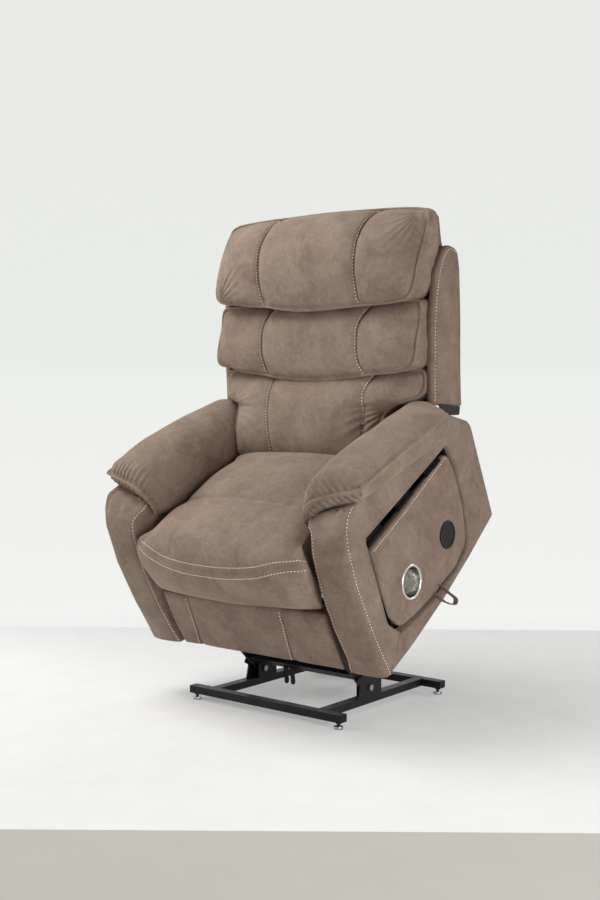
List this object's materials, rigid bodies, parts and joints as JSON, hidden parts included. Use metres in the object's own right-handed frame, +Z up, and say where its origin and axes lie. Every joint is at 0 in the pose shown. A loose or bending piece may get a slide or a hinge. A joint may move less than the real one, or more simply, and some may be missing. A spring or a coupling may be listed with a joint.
{
  "type": "lift recliner chair",
  "caption": "Power lift recliner chair on a steel base frame, with pillowed backrest, padded arms, footrest and a fold-out side tray with cup holder.",
  "frame": {"origin": "centre of the bounding box on the floor, under the raised chair", "axes": "+Z up, the sitter faces -Y, the side tray is on +X (the sitter's left)"},
  "size_m": [0.917, 0.7893, 1.4468],
  "materials": {
    "black_steel": "black powder coat, fine texture",
    "zinc_steel": "bright zinc plate",
    "suede": "mottled taupe faux suede with off-white topstitching",
    "suede_side": "taupe faux suede",
    "plywood": "bare plywood",
    "black_plastic": "fine grained",
    "cup_steel": "polished stainless steel",
    "webbing": "woven webbing",
    "foot_rubber": "matt"
  },
  "bodies": {
    "base": {"front_cross_tube": "black_steel", "rear_cross_tube": "black_steel", "side_rails": "black_steel", "tube_end_caps": "black_plastic", "levelling_feet": "foot_rubber", "foot_screws": "zinc_steel", "pivot_brackets": "black_steel", "lift_pivot_bolts": "zinc_steel", "motor_clevis": "black_steel"},
    "lift_arms": {"left_lift_arm": "black_steel", "right_lift_arm": "black_steel", "torque_tube": "black_steel"},
    "lift_motor_body": {"lift_motor": "black_plastic"},
    "lift_rod_body": {"lift_rod": "zinc_steel"},
    "chair": {"mechanism_plates": "black_steel", "chassis_cross_tubes": "black_steel", "chair_pivot_brackets": "black_steel", "hinge_bolts": "zinc_steel", "seat_deck": "plywood", "seat_springs": "zinc_steel", "seat_cushion": "suede", "arm_frames": "plywood", "left_arm_cover": "suede_side", "right_arm_cover": "suede_side", "left_arm_front": "suede_side", "right_arm_front": "suede_side", "left_arm_pad": "suede", "right_arm_pad": "suede", "rear_panel": "suede_side", "control_box": "black_plastic", "power_inlet": "black_plastic", "side_pocket": "suede_side", "tray_well": "black_plastic", "tray_hinge_pin": "black_steel", "back_motor": "black_plastic"},
    "backrest": {"back_frame": "plywood", "back_shell": "suede", "left_wing": "suede_side", "right_wing": "suede_side", "head_pillow": "suede", "middle_pillow": "suede", "lumbar_pillow": "suede", "back_brackets": "black_steel"},
    "back_rod_body": {"back_rod": "zinc_steel"},
    "footrest_swing": {"footrest_channels": "black_steel", "footrest_motor": "black_plastic"},
    "footrest_slider": {"footrest_bars": "black_steel", "footrest_rod": "zinc_steel", "footrest_hinge_pins": "zinc_steel"},
    "footrest": {"footrest_board": "plywood", "footrest_pad": "suede_side"},
    "tray": {"tray_panel": "suede", "cup_holder": "cup_steel", "charging_disc": "black_plastic", "pull_loop": "webbing"},
    "handset_body": {"handset": "black_plastic"},
    "lift_button_body": {"lift_button": "black_plastic"},
    "lower_button_body": {"lower_button": "black_plastic"},
    "recline_button_body": {"recline_button": "black_plastic"},
    "upright_button_body": {"upright_button": "black_plastic"}
  },
  "joints": [
    {"name": "lift_arm_hinge", "type": "hinge", "parent": "base", "child": "lift_arms", "pos_m": [0, 0.085, 0.067], "axis": [1, 0, 0], "range_deg": [0, 43.89]},
    {"name": "chair_tilt", "type": "hinge", "parent": "lift_arms", "child": "chair", "pos_m": [0, -0.09496, 0.23316], "axis": [1, 0, 0], "range_deg": [-79.5, 0]},
    {"name": "lift_motor_hinge", "type": "hinge", "parent": "base", "child": "lift_motor_body", "pos_m": [0.01, 0.3313, 0.05], "axis": [1, 0, 0], "range_deg": [0, 27.55]},
    {"name": "lift_rod_slide", "type": "slide", "parent": "lift_motor_body", "child": "lift_rod_body", "axis": [0, -0.8008, 0.5989], "range_m": [-0.0644, 0]},
    {"name": "back_hinge", "type": "hinge", "parent": "chair", "child": "backrest", "pos_m": [0, 0.19167, 0.70032], "axis": [-1, 0, 0], "range_deg": [0, 35]},
    {"name": "back_rod_slide", "type": "slide", "parent": "chair", "child": "back_rod_body", "axis": [0, -0.8131, -0.5821], "range_m": [0, 0.058]},
    {"name": "footrest_slide", "type": "slide", "parent": "footrest_swing", "child": "footrest_slider", "axis": [0, -0.8131, -0.5821], "range_m": [0, 0.27]},
    {"name": "footrest_swing_hinge", "type": "hinge", "parent": "chair", "child": "footrest_swing", "pos_m": [0, -0.08003, 0.40127], "axis": [-1, 0, 0], "range_deg": [0, 10]},
    {"name": "footrest_hinge", "type": "hinge", "parent": "footrest_slider", "child": "footrest", "pos_m": [0, -0.16947, 0.33724], "axis": [-1, 0, 0], "range_deg": [0, 68]},
    {"name": "tray_hinge", "type": "hinge", "parent": "chair", "child": "tray", "pos_m": [0.4255, -0.2407, 0.52606], "axis": [0, -0.8545, -0.5194], "range_deg": [0, 90]},
    {"name": "handset_slide", "type": "slide", "parent": "chair", "child": "handset_body", "axis": [0, -0.5821, 0.8131], "range_m": [0, 0.09]},
    {"name": "lift_button_press", "type": "slide", "parent": "handset_body", "child": "lift_button_body", "axis": [1, 0, 0], "range_m": [0, 0.0015], "stiffness_N_per_m": 400, "springref_m": -0.001},
    {"name": "lower_button_press", "type": "slide", "parent": "handset_body", "child": "lower_button_body", "axis": [1, 0, 0], "range_m": [0, 0.0015], "stiffness_N_per_m": 400, "springref_m": -0.001},
    {"name": "recline_button_press", "type": "slide", "parent": "handset_body", "child": "recline_button_body", "axis": [1, 0, 0], "range_m": [0, 0.0015], "stiffness_N_per_m": 400, "springref_m": -0.001},
    {"name": "upright_button_press", "type": "slide", "parent": "handset_body", "child": "upright_button_body", "axis": [1, 0, 0], "range_m": [0, 0.0015], "stiffness_N_per_m": 400, "springref_m": -0.001}
  ],
  "couplings": [
    {"joint": "chair_tilt", "follows": "lift_arm_hinge", "ratio": -1.8112},
    {"joint": "lift_motor_hinge", "follows": "lift_arm_hinge", "ratio": 0.6266},
    {"joint": "lift_rod_slide", "follows": "lift_arm_hinge", "m_per_rad": -0.0838},
    {"joint": "back_rod_slide", "follows": "back_hinge", "m_per_rad": 0.093896},
    {"joint": "footrest_swing_hinge", "follows": "footrest_slide", "rad_per_m": 0.64642},
    {"joint": "footrest_hinge", "follows": "footrest_slide", "rad_per_m": 4.3956}
  ]
}
